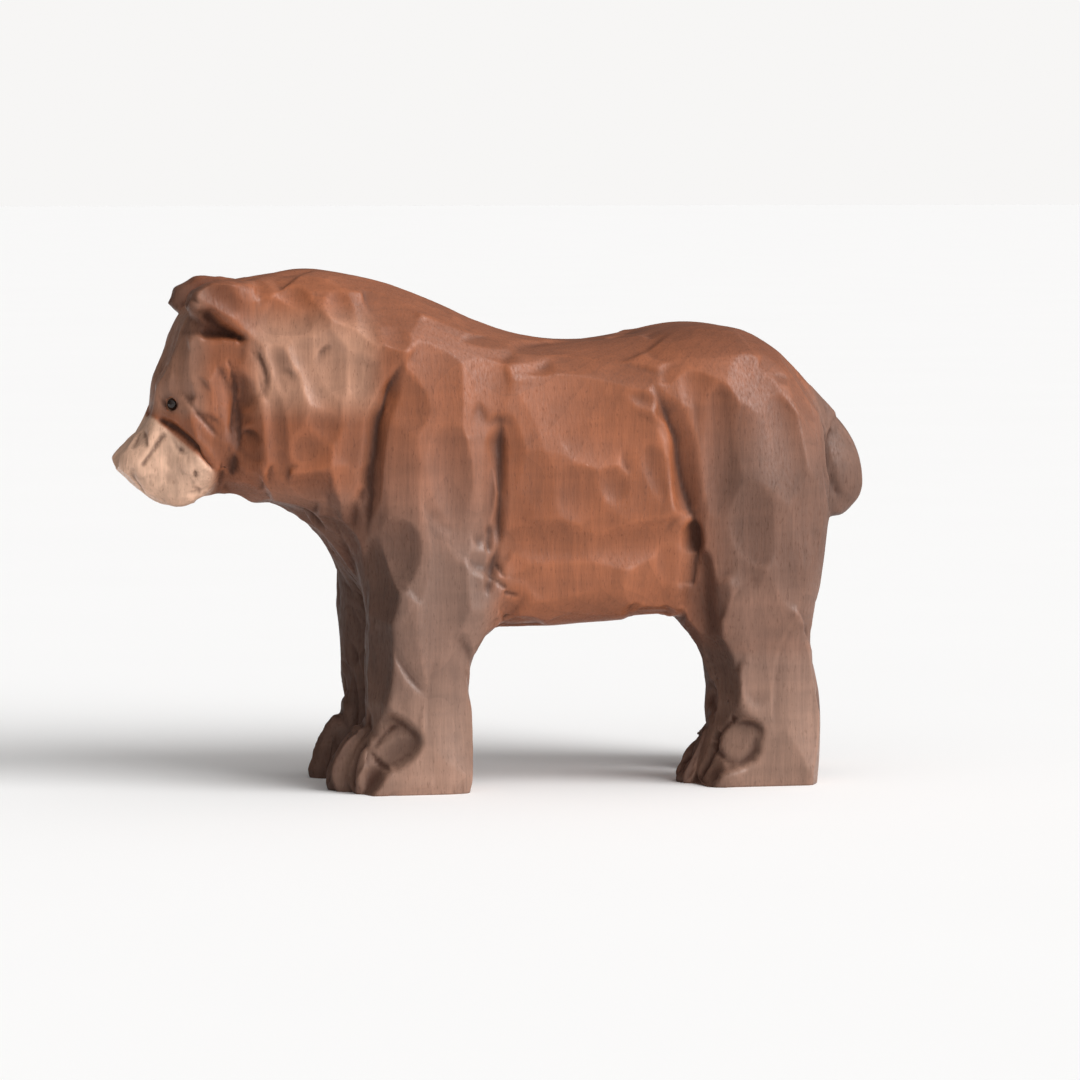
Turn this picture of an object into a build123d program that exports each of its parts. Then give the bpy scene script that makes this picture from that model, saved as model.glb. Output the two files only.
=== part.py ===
"""Carved wooden bear, standing: one carved body and two pin-mounted bead eyes.

Millimetres. +X runs from the head to the tail, +Y is the bear's right side, +Z is up.
The origin is on the ground, under the centre of the figure's outer box.
"""

import os

from build123d import *

# ---- Overall figure -------------------------------------------------------------------------
BODY_LENGTH = 119.2  # nose to tail
BODY_HEIGHT = 80.9  # ground to the top of the shoulder hump
HAUNCH_HALF_WIDTH = 20.8
SHOULDER_HALF_WIDTH = 20.2
WAIST_HALF_WIDTH = 18.8

# ---- Head -----------------------------------------------------------------------------------
HEAD_HALF_WIDTH = 13.4
FACE_HALF_WIDTH = 9.0
MUZZLE_HALF_WIDTH = 8.4
NOSE_HALF_WIDTH = 5.2
EAR_THICKNESS = 5.6
EAR_ROUNDING = 1.2
EAR_SPACING = 18.6  # between the middles of the two ears

# ---- Legs, paws and tail --------------------------------------------------------------------
LEG_GAP = 10.8  # between the inner faces of a left and a right leg
FRONT_LEG_THICKNESS = 13.8
HIND_LEG_THICKNESS = 13.6
FAR_HIND_STEP = 7.4  # how far the right hind leg stands behind the left one
TOE_RADIUS = 3.3
TOE_COUNT = 3
TOE_TURN = 26.0  # degrees that the outermost toe points out to the side
TAIL_WIDTH = 13.0
TAIL_ROUNDING = 1.8

# ---- Eyes -----------------------------------------------------------------------------------
EYE_RADIUS = 1.0
EYE_CLEARANCE = 0.03  # between the bead and its socket, and between the shank and its hole
EYE_RECESS = 0.2  # bead front below the face
PIN_RADIUS = 0.4
PIN_LENGTH = 6.0
PIN_SEAT = 0.5  # depth of the shank inside the bead
EYE_HEIGHT = 60.4
EYE_ROOT_X = -46.8  # where the lines of the two shanks meet inside the head
EYE_TURN = 53.0  # degrees from straight ahead to straight out at the side

LEFT = -1
RIGHT = 1

# The outlines below are drawn for a bear of this length and height, and stretched to the sizes set above.
DRAWN_LENGTH = 119.2
DRAWN_HEIGHT = 80.9
LENGTH_SHARE = BODY_LENGTH / DRAWN_LENGTH
HEIGHT_SHARE = BODY_HEIGHT / DRAWN_HEIGHT


def along(x):
    """A drawn place along the bear, stretched to the body's length."""
    return x * LENGTH_SHARE


def up(z):
    """A drawn height, stretched to the body's height."""
    return z * HEIGHT_SHARE


def side_view(points):
    """Points drawn in the side view, as (along, up) pairs at the body's own size."""
    return [(along(x), up(z)) for x, z in points]


def rounded_slice(x, low, high, half_low, half_high, round_low, round_high):
    """One upright slice across the body: four sides, with one rounding below and another above."""
    corners = [(half_low, low), (half_high, high), (-half_high, high), (-half_low, low)]
    outline = Wire.make_polygon([Vector(y, z, 0) for y, z in corners], close=True)
    upper = outline.vertices().filter_by(lambda corner: corner.Y > (low + high) / 2)
    outline = outline.fillet_2d(round_high, upper)
    lowest = outline.vertices().filter_by(lambda corner: corner.Y < low + 1e-6)
    outline = outline.fillet_2d(round_low, lowest)
    return Plane.YZ.offset(x) * Face(outline)


def trunk():
    """Trunk, neck and skull as one smooth run from the face to the rump."""
    head = HEAD_HALF_WIDTH
    face = FACE_HALF_WIDTH
    waist = WAIST_HALF_WIDTH
    # along, underside, top, half width below, half width above, rounding below, rounding above
    slices = [
        (-54.6, 52.0, 60.6, face - 3.6, face - 4.0, 1.8, 1.8),
        (-53.2, 50.0, 64.2, face - 1.8, face - 2.4, 2.4, 2.6),
        (-51.4, 48.2, 68.4, face, face - 1.4, 3.2, 3.4),
        (-48.7, 47.2, 74.2, head - 2.0, face + 0.6, 5.0, 4.6),
        (-45.0, 46.4, 77.4, head - 0.6, head - 2.2, 5.8, 6.0),
        (-40.5, 46.2, 79.2, head, head - 1.6, 6.0, 7.6),
        (-35.5, 44.4, 80.5, head + 1.4, head - 0.4, 6.6, 9.0),
        (-29.5, 41.0, 80.9, 16.6, 15.0, 7.6, 10.8),
        (-22.0, 31.5, 79.9, 18.0, 17.4, 8.0, 12.6),
        (-12.0, 26.5, 76.5, 19.0, 19.0, 8.0, 13.4),
        (0.0, 25.4, 71.5, waist, waist, 7.0, 12.6),
        (12.0, 25.8, 69.7, waist, waist, 7.0, 12.0),
        (24.0, 26.6, 71.0, waist + 0.6, waist + 0.6, 7.4, 12.6),
        (34.0, 27.6, 72.2, waist + 1.2, waist + 1.2, 8.0, 13.0),
        (43.0, 28.6, 69.8, waist + 0.6, waist + 0.6, 8.4, 13.0),
        (49.4, 31.2, 64.8, waist - 2.2, waist - 3.2, 8.6, 12.0),
        (53.2, 35.6, 58.0, 10.4, 9.0, 6.4, 7.6),
    ]
    faces = []
    for x, low, high, *widths in slices:
        faces.append(rounded_slice(along(x), up(low), up(high), *widths))
    return loft(faces)


def muzzle():
    """Short blunt muzzle, its bridge falling forward and its nose face slanting back to the chin."""
    profile = Polyline(
        *side_view([(-44.0, 49.0), (-45.0, 46.6), (-47.8, 44.8), (-51.4, 43.9), (-56.0, 46.6)]),
        *side_view([(-60.0, 51.2), (-55.0, 57.6), (-44.0, 57.6)]),
        close=True,
    )
    side = extrude(Plane.XZ * make_face(profile), MUZZLE_HALF_WIDTH + 1, both=True)
    back = MUZZLE_HALF_WIDTH + 0.6
    plan = Polyline(
        (along(-42.0), -back),
        (along(-50.0), -MUZZLE_HALF_WIDTH),
        (along(-61.0), -NOSE_HALF_WIDTH),
        (along(-61.0), NOSE_HALF_WIDTH),
        (along(-50.0), MUZZLE_HALF_WIDTH),
        (along(-42.0), back),
        close=True,
    )
    return side & extrude(make_face(plan), BODY_HEIGHT)


def ear(side):
    """One ear: a thick flap with its tip leaning forward over the temple."""
    profile = Polyline(
        *side_view([(-50.0, 75.6), (-49.0, 78.0), (-45.8, 79.9), (-39.6, 79.9), (-39.6, 69.0), (-42.6, 69.6)]),
        close=True,
    )
    flap = extrude(Plane.XZ * make_face(profile), EAR_THICKNESS / 2, both=True)
    flap = fillet(flap.faces().filter_by(Axis.Y).edges(), EAR_ROUNDING)
    return Pos(0, side * EAR_SPACING / 2, 0) * flap


def tail():
    """Broad short tail, a flap that carries the line of the back on down and ends in a square cut."""
    back = side_view([(44.0, 69.0), (50.0, 64.8), (55.6, 59.2), (58.6, 52.8), (59.2, 48.0), (58.0, 42.4)])
    closing = Polyline(back[-1], *side_view([(50.0, 41.0)]), back[0])
    flap = extrude(Plane.XZ * make_face([Spline(*back), closing]), TAIL_WIDTH / 2, both=True)
    return fillet(flap.edges().filter_by(GeomType.BSPLINE), TAIL_ROUNDING)


def leg(stations, side):
    """One leg with the muscle above it, lofted upwards through level slices."""
    faces = []
    for height, front, back, inner, outer, rounding in stations:
        middle = Vector(along(front + back) / 2, side * (inner + outer) / 2, up(height))
        outline = RectangleRounded(along(back - front), outer - inner, rounding)
        faces.append(Plane(origin=middle) * outline)
    return loft(faces, ruled=True)


def paw(front, height, length, thickness, side):
    """The toes of one paw: rounded lobes, the outermost one turned out to the side."""
    middle = side * (LEG_GAP + thickness) / 2
    spread = thickness - 2 * TOE_RADIUS
    lobe = scale(Sphere(1), by=(length, TOE_RADIUS, height))
    toes = []
    for index in range(TOE_COUNT):
        share = index / (TOE_COUNT - 1)
        pull_back = 2.6 * share**2
        place = Pos(along(front) + pull_back, middle + side * spread * (share - 0.5), height * 0.3)
        toes.append(place * Rot(0, 0, -side * TOE_TURN * share) * lobe)
    return toes


def front_leg(side):
    """A straight front leg with its shoulder, and its paw."""
    inner = LEG_GAP / 2
    outer = inner + FRONT_LEG_THICKNESS
    # height, front, back, inner face, outer face, rounding
    stations = [
        (0.0, -21.6, -6.6, inner, outer, 2.8),
        (16.0, -22.3, -6.3, inner, outer, 3.0),
        (21.5, -22.5, -6.0, inner, outer + 0.3, 3.2),
        (24.6, -22.7, -4.2, inner, outer + 0.5, 3.4),
        (27.0, -22.8, -1.6, inner, outer + 0.7, 3.6),
        (40.0, -22.8, -1.4, inner, SHOULDER_HALF_WIDTH, 4.2),
        (54.0, -21.2, -2.0, inner, SHOULDER_HALF_WIDTH, 4.6),
        (63.0, -18.4, -4.6, inner, SHOULDER_HALF_WIDTH - 1.2, 4.6),
    ]
    return [leg(stations, side)] + paw(-22.8, 7.6, 5.6, FRONT_LEG_THICKNESS, side)


def hind_leg(side):
    """A hind leg with its thigh and hock, and its paw; the right one stands a step behind."""
    inner = LEG_GAP / 2
    outer = inner + HIND_LEG_THICKNESS
    step = FAR_HIND_STEP if side == RIGHT else 0
    # height, front, back, inner face, outer face, rounding, share of the step taken
    slices = [
        (0.0, 32.2, 49.7, inner, outer, 3.2, 0.86),
        (9.0, 32.9, 49.8, inner, outer, 3.4, 0.86),
        (15.0, 32.8, 50.0, inner, outer, 3.4, 0.8),
        (21.0, 30.8, 48.0, inner, outer + 0.4, 3.6, 0.7),
        (25.0, 28.6, 48.4, inner, outer + 0.8, 3.8, 0.5),
        (30.0, 27.4, 49.8, inner, outer + 1.4, 4.2, 0.2),
        (38.0, 28.4, 51.5, inner, HAUNCH_HALF_WIDTH, 4.8, 0.0),
        (52.0, 29.4, 51.0, inner, HAUNCH_HALF_WIDTH, 5.2, 0.0),
        (61.0, 33.0, 47.6, inner, HAUNCH_HALF_WIDTH - 1.4, 5.0, 0.0),
    ]
    stations = []
    for height, front, back, inside, outside, rounding, share in slices:
        moved = step * share
        stations.append((height, front + moved, back + moved, inside, outside, rounding))
    return [leg(stations, side)] + paw(32.4 + step, 6.4, 5.0, HIND_LEG_THICKNESS, side)


def blank():
    """The whole bear before its eyes are drilled."""
    body = trunk()
    additions = [muzzle(), tail()]
    for side in (LEFT, RIGHT):
        additions.append(ear(side))
        additions += front_leg(side)
        additions += hind_leg(side)
    for addition in additions:
        body = body + addition
    ground = Pos(0, 0, -BODY_LENGTH / 2) * Box(2 * BODY_LENGTH, BODY_LENGTH, BODY_LENGTH)
    return body - ground


def eye_place(side, head):
    """Where an eye sits: the bead's middle, just inside the face, with local +Z pointing out of it."""
    out = Vector(-1, 0, 0).rotate(Axis.Z, -side * EYE_TURN)
    line = Axis((along(EYE_ROOT_X), 0, up(EYE_HEIGHT)), out)
    hits = [point for point, normal in head.find_intersection_points(line)]
    surface = max(hits, key=lambda point: (point - line.position).dot(out))
    middle = surface - out * (EYE_RADIUS + EYE_RECESS)
    return Location(Plane(origin=middle, x_dir=(0, 0, 1), z_dir=out))


def eye_socket():
    """What the drill takes out for one eye: the bead's seat, open to the front, and the shank's hole."""
    seat_radius = EYE_RADIUS + EYE_CLEARANCE
    mouth_depth = 4 * EYE_RADIUS
    mouth = Pos(0, 0, mouth_depth / 2) * Cylinder(seat_radius, mouth_depth)
    hole_depth = EYE_RADIUS - PIN_SEAT + PIN_LENGTH + EYE_CLEARANCE
    hole = Pos(0, 0, -hole_depth / 2) * Cylinder(PIN_RADIUS + EYE_CLEARANCE, hole_depth)
    return Sphere(seat_radius) + mouth + hole


def eye_pieces():
    """The bead, drilled at the back for its shank, and the shank."""
    shank_top = PIN_SEAT - EYE_RADIUS
    shank = Pos(0, 0, shank_top - PIN_LENGTH / 2) * Cylinder(PIN_RADIUS, PIN_LENGTH)
    return Sphere(EYE_RADIUS) - shank, shank


def main():
    """Carve the body, drill and fit the eyes, stand the figure on its origin and write each piece."""
    os.makedirs("parts", exist_ok=True)
    head = trunk()
    body = blank()
    nodes = {}
    for side, name in ((LEFT, "left"), (RIGHT, "right")):
        place = eye_place(side, head)
        body = body - place * eye_socket()
        bead, shank = eye_pieces()
        nodes[f"{name}_eye_bead"] = place * bead
        nodes[f"{name}_eye_pin"] = place * shank
    nodes["carved_body"] = body
    box = body.bounding_box()
    centring = Pos(-box.center().X, -box.center().Y, -box.min.Z)
    for name, piece in nodes.items():
        placed = centring * piece
        print(name, len(placed.solids()), "solid", round(placed.volume, 1), "mm3, valid", placed.is_valid)
        export_step(placed, f"parts/{name}.step")


main()
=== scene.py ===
"""A knife-carved wooden bear, stained and oiled, standing on a pale studio floor.

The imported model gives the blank: the bear's solid form and the places of its eyes. This script carves the
blank the way a carver does, with broad knife cuts, gouge scoops, V cuts and chips, and finishes it as stained
wood with upright grain.

Lengths in the carving code are millimetres; the finished meshes are in metres.
"""

import logging
import math
from dataclasses import dataclass, replace
from enum import Enum

import bmesh
import bpy
import numpy as np
from mathutils import Matrix, Vector


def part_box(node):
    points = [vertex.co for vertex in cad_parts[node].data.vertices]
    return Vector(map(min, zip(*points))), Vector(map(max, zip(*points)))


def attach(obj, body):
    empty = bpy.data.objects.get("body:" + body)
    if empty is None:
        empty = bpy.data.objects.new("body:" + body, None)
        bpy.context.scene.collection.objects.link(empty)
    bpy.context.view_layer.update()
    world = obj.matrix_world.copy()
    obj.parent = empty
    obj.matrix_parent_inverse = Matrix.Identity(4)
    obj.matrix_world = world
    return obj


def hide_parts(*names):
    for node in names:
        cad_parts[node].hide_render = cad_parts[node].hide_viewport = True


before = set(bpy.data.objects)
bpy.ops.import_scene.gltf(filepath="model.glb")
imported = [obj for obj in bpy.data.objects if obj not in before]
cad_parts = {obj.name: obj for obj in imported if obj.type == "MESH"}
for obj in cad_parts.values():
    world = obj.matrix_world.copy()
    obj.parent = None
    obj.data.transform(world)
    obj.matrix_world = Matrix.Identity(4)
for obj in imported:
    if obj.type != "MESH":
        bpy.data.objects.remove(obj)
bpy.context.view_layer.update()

MM = 0.001
LOG = logging.getLogger("bear")


class Side(Enum):
    """The two sides of the bear, by the sign of Y."""

    LEFT = -1
    RIGHT = 1


# ---------------------------------------------------------------------------------------------
# Small helpers
# ---------------------------------------------------------------------------------------------


def ease(t: np.ndarray) -> np.ndarray:
    """Ease from 0 to 1 as t goes from 0 to 1.

    Args:
        t: a share, which may lie outside 0 to 1.

    Returns:
        the eased share, from 0 to 1.
    """
    t = np.clip(t, 0.0, 1.0)
    return t * t * (3.0 - 2.0 * t)


def between(values: np.ndarray, low: float, high: float) -> np.ndarray:
    """Ease from 0 at low to 1 at high; low may be the larger of the two.

    Args:
        values: the numbers to ease.
        low: where the result is 0.
        high: where the result is 1.

    Returns:
        a share for each value.
    """
    return ease((values - low) / (high - low))


def fade(*edges: tuple[np.ndarray, float, float]) -> np.ndarray:
    """The product of several eased edges, each running from 0 at its first place to 1 at its second.

    Args:
        edges: the numbers, the place of 0 and the place of 1 of each edge.

    Returns:
        a share for each value.
    """
    return np.prod([between(values, low, high) for values, low, high in edges], axis=0)


def unit(v: np.ndarray) -> np.ndarray:
    """Rows of v scaled to length 1.

    Args:
        v: rows of three numbers.

    Returns:
        the rows, each of length 1.
    """
    return v / np.maximum(np.linalg.norm(v, axis=-1, keepdims=True), 1e-9)


# ---------------------------------------------------------------------------------------------
# The carving bench: a dense mesh and the cuts that can be made in it
# ---------------------------------------------------------------------------------------------


@dataclass
class Stroke:
    """One stroke of a knife or gouge on the wood.

    place is a point on the wood and along the direction of the tool. long and wide are the reach of the cut
    each way, scoop is how hollow its floor is, and lean is how much the floor rises per millimetre along and
    across the stroke. bite is how far a stroke may flatten rounded wood, as a share of its smaller reach.
    shade is how much painted shade darkens the cut's colour, or below 0 how much painted highlight of pale
    specks it gets.
    """

    place: np.ndarray
    along: np.ndarray
    long: float
    wide: float
    scoop: float = 0.2
    lean: tuple[float, float] = (0.0, 0.0)
    bite: float = 0.16
    shade: float = 0.0


@dataclass(frozen=True)
class HandCut:
    """A stroke given in the side view.

    x and z are where it lands, and turn is how far the tool tips from straight down towards the tail, in
    radians. The rest is as for a Stroke.
    """

    x: float
    z: float
    long: float
    wide: float
    turn: float
    lean: tuple[float, float]
    shade: float = 0.0
    scoop: float = 0.2


class Bench:
    """Holds the wood as arrays of points and normals, and makes cuts in it."""

    deepest = 4.0

    def __init__(self, mesh: bpy.types.Mesh, rng: np.random.Generator) -> None:
        """Take a closed mesh in metres onto the bench.

        Args:
            mesh: the closed mesh.
            rng: where all random draws come from.
        """
        self.mesh = mesh
        self.rng = rng
        count = len(mesh.vertices)
        points = np.empty(count * 3, np.float32)
        mesh.vertices.foreach_get("co", points)
        self.points = points.reshape(-1, 3).astype(float) / MM
        edges = np.empty(len(mesh.edges) * 2, np.int32)
        mesh.edges.foreach_get("vertices", edges)
        first, second = edges.reshape(-1, 2).T
        order = np.argsort(np.concatenate([first, second]), kind="stable")
        self.giver = np.concatenate([second, first])[order]
        self.share = np.bincount(edges, minlength=count).astype(float)
        self.starts = np.concatenate([[0], np.cumsum(self.share).astype(int)[:-1]])
        self.tone = np.zeros(count)
        # Painted shade per vertex from the cuts; below 0 it is painted highlight.
        self.shade = np.zeros(count)
        self.refresh()
        self.nook = np.einsum("ij,ij->i", self.points - self.average(self.points, 60), self.level) < -0.25

    def refresh(self) -> None:
        """Send the points back to the mesh and read the new normals."""
        self.mesh.vertices.foreach_set("co", (self.points * MM).astype(np.float32).ravel())
        self.mesh.update()
        normals = np.empty(len(self.points) * 3, np.float32)
        self.mesh.vertices.foreach_get("normal", normals)
        self.normals = unit(normals.reshape(-1, 3).astype(float))
        self.level = unit(self.average(self.normals, 8))

    def average(self, values: np.ndarray, rounds: int) -> np.ndarray:
        """Each vertex's values averaged with its neighbours', several rounds over.

        Args:
            values: one row of values per vertex.
            rounds: how many rounds.

        Returns:
            the averaged values.
        """
        share = self.share if values.ndim == 1 else self.share[:, None]
        for _ in range(rounds):
            values = 0.5 * values + 0.5 * np.add.reduceat(values[self.giver], self.starts) / share
        return values

    def soften(self, rounds: int, where: np.ndarray | float = 1.0) -> None:
        """Relax the surface, by the share that where gives for each vertex; the soles stay flat.

        Args:
            rounds: how many rounds.
            where: a share for each vertex, or one for all.
        """
        relaxed = self.average(self.points, rounds)
        share = np.broadcast_to(where, len(self.points))[:, None]
        sole = self.points[:, 2] < 0.02
        self.points += (relaxed - self.points) * share
        self.points[sole, 2] = 0.0
        self.refresh()

    def seen(self, x: float, z: float, side: Side) -> np.ndarray:
        """The point of the wood that shows at (x, z) when the bear is seen from one side.

        Args:
            x: distance along the bear, in millimetres.
            z: height, in millimetres.
            side: which side of the bear.

        Returns:
            the point, in millimetres.
        """
        away = np.hypot(self.points[:, 0] - x, self.points[:, 2] - z)
        away += 9.0 * (self.points[:, 1] * side.value < 0)
        near = np.flatnonzero(away < max(0.5, away.min() + 0.1))
        return self.points[near[np.argmax(self.points[near, 1] * side.value)]].copy()

    def corner(self, place: tuple[float, float, float]) -> np.ndarray:
        """The point of the wood nearest to a place."""
        return self.points[np.argmin(np.sum((self.points - np.array(place)) ** 2, axis=1))].copy()

    def line(self, places: list[tuple[float, float]], side: Side, step: float = 0.8) -> list[np.ndarray]:
        """Points on the wood along a line drawn in the side view.

        Args:
            places: corners of the line as (x, z), in millimetres.
            side: which side of the bear.
            step: the distance between points, in millimetres.

        Returns:
            the points, evenly spaced.
        """
        drawn = np.array(places)
        runs = np.linalg.norm(np.diff(drawn, axis=0), axis=1)
        marks = np.concatenate([[0.0], np.cumsum(runs)])
        at = np.linspace(0.0, marks[-1], max(2, round(marks[-1] / step)))
        x, z = np.interp(at, marks, drawn[:, 0]), np.interp(at, marks, drawn[:, 1])
        y = np.array([self.seen(px, pz, side)[1] for px, pz in zip(x, z)])
        for row in (x, y, z):
            row[1:-1] = (row[:-2] + 2.0 * row[1:-1] + row[2:]) / 4.0
        return list(np.stack([x, y, z], axis=1))

    def push(self, amount: np.ndarray) -> None:
        """Move each vertex out along its normal, or in where amount is negative."""
        self.points += self.normals * amount[:, None]

    def swell(self, place: tuple, reach: tuple, height: float) -> None:
        """Raise a soft mound, or sink a hollow where height is negative."""
        away = np.linalg.norm((self.points - np.array(place)) / np.array(reach), axis=1)
        self.push(height * (1.0 - ease(away)))

    def cut(self, stroke: Stroke) -> None:
        """Take one stroke: its floor is fitted to the wood around it, so that the cut ends in crisp edges.

        Args:
            stroke: where the tool goes and how.
        """
        reach = max(stroke.long, stroke.wide)
        offset = self.points - stroke.place
        near = np.flatnonzero(np.einsum("ij,ij->i", offset, offset) < (1.5 * reach) ** 2)
        if len(near) < 12:
            return
        offset = offset[near]
        close = np.einsum("ij,ij->i", offset, offset) < (0.6 * min(stroke.long, stroke.wide)) ** 2 + 0.6
        out = self.level[near][close].mean(axis=0)
        out /= np.linalg.norm(out)
        along = stroke.along - out * (stroke.along @ out)
        along /= max(np.linalg.norm(along), 1e-6)
        across = np.cross(out, along)
        u, w, h = offset @ along, offset @ across, offset @ out
        facing = self.level[near] @ out > 0.35
        inside = facing & ((u / stroke.long) ** 2 + (w / stroke.wide) ** 2 < 1.1) & (np.abs(h) < 0.7 * reach)
        if inside.sum() < 8:
            return
        terms = np.stack([np.ones(len(u)), u, w, u * u, w * w], axis=1)
        fit = np.linalg.lstsq(terms[inside], h[inside], rcond=None)[0]
        bow_along = min(fit[3], 0.5 / stroke.long)
        bow_across = min(fit[4], 0.5 / stroke.wide)
        bulge = max(-bow_along * stroke.long**2, -bow_across * stroke.wide**2, 0.0)
        drop = stroke.scoop + min(bulge, stroke.bite * min(stroke.long, stroke.wide))
        slope_along, slope_across = fit[1] + stroke.lean[0], fit[2] + stroke.lean[1]
        floor = terms @ np.array([fit[0], slope_along, slope_across, bow_along, bow_across])
        reached = (u / stroke.long) ** 2 + (w / stroke.wide) ** 2
        floor -= drop * (1.0 - reached)
        limit = 1.7 * drop + abs(stroke.lean[0]) * stroke.long + abs(stroke.lean[1]) * stroke.wide
        amount = np.minimum(h - floor, limit) * between(reached, 1.9, 1.3)
        over = facing & (amount > 0.0) & (h - floor < self.deepest)
        moved = near[over]
        self.points[moved] -= out * amount[over, None]
        self.tone[moved] = self.rng.uniform(-1.0, 1.0)
        # The cut's painted shade, or below 0 its painted highlight, replaces what lay here.
        self.shade[moved] = stroke.shade

    def hand_cuts(self, cuts: list[HandCut], side: Side) -> None:
        """Take strokes that are listed, one after another.

        Args:
            cuts: the strokes, in order.
            side: which side of the bear.
        """
        for cut in cuts:
            along = np.array([math.sin(cut.turn), 0.0, -math.cos(cut.turn)])
            lean = (cut.lean[0], cut.lean[1] * -side.value)
            spot = self.seen(cut.x, cut.z, side)
            self.cut(Stroke(spot, along, cut.long, cut.wide, cut.scoop, lean, shade=cut.shade))

    def v_cut(
        self, path: list[np.ndarray], depth: float, walls: tuple[float, float], taper: float = 0.25
    ) -> None:
        """Run a V tool along a path.

        Args:
            path: points on the wood.
            depth: depth of the cut at its bottom.
            walls: widths of the wall on the left and on the right of the path, seen from outside the wood.
            taper: share of the path's length over which each end runs out.
        """
        line = np.array(path)
        runs = np.maximum(np.linalg.norm(np.diff(line, axis=0), axis=1), 1e-6)
        total = runs.sum()
        reach = max(walls)
        low, high = line.min(axis=0) - reach, line.max(axis=0) + reach
        near = np.flatnonzero(np.all((self.points > low) & (self.points < high), axis=1))
        points, normals = self.points[near], self.level[near]
        best = np.full(len(near), np.inf)
        hand = np.zeros(len(near))
        travelled = np.zeros(len(near))
        done = 0.0
        for start, end, run in zip(line[:-1], line[1:], runs):
            ahead = (end - start) / run
            passed = np.clip((points - start) @ ahead, 0.0, run)
            offset = points - (start + passed[:, None] * ahead)
            rise = np.einsum("ij,ij->i", offset, normals)
            away = np.linalg.norm(offset - normals * rise[:, None], axis=1)
            away += np.where(np.abs(rise) > 3.0, 99.0, 0.0)
            closer = away < best
            turn = np.einsum("ij,ij->i", np.cross(normals, np.broadcast_to(ahead, normals.shape)), offset)
            hand = np.where(closer, turn, hand)
            travelled = np.where(closer, done + passed, travelled)
            best = np.minimum(best, away)
            done += run
        wall = np.where(hand > 0, walls[0], walls[1])
        ends = ease(np.minimum(travelled, total - travelled) / max(total * taper, 1e-6))
        wall = wall * (0.35 + 0.65 * ends)
        deep = depth * np.clip(1.0 - best / wall, 0.0, 1.0) * (0.1 + 0.9 * ends)
        self.points[near] -= normals * deep[:, None]

    def seeds(self, where: np.ndarray, spacing: float) -> np.ndarray:
        """Vertices scattered evenly over part of the wood.

        Args:
            where: the vertices meant.
            spacing: the distance between neighbours, in millimetres.

        Returns:
            the numbers of the chosen vertices.
        """
        pool = self.rng.permutation(np.flatnonzero(where))[:9000]
        taken: list[int] = []
        open_ = np.ones(len(pool), bool)
        places = self.points[pool]
        for index in range(len(pool)):
            if open_[index]:
                taken.append(pool[index])
                open_ &= np.linalg.norm(places - places[index], axis=1) > spacing
        return np.array(taken, int)

    def cover(
        self,
        where: np.ndarray,
        spacing: float,
        size: tuple[float, float],
        scoop: float,
        run: np.ndarray,
        lean: float = 0.03,
        bite: float = 0.16,
    ) -> None:
        """Cover part of the wood with overlapping strokes.

        Args:
            where: the vertices to work on.
            spacing: distance between strokes.
            size: reach of a stroke along and across the tool's path.
            scoop: hollowness of each stroke.
            run: the tool's usual direction.
            lean: how unevenly the strokes tilt.
            bite: how far a stroke may flatten rounded wood.
        """
        for index in self.seeds(where & ~self.nook, spacing):
            along = run + self.rng.normal(0.0, 0.16, 3)
            scale = self.rng.uniform(0.8, 1.2)
            tilt = self.rng.normal(0.0, lean, 2)
            place = self.points[index].copy()
            long, wide = size[0] * scale, size[1] * scale
            self.cut(Stroke(place, along, long, wide, scoop, (tilt[0], tilt[1]), bite))


# ---------------------------------------------------------------------------------------------
# Finishes
# ---------------------------------------------------------------------------------------------


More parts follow.
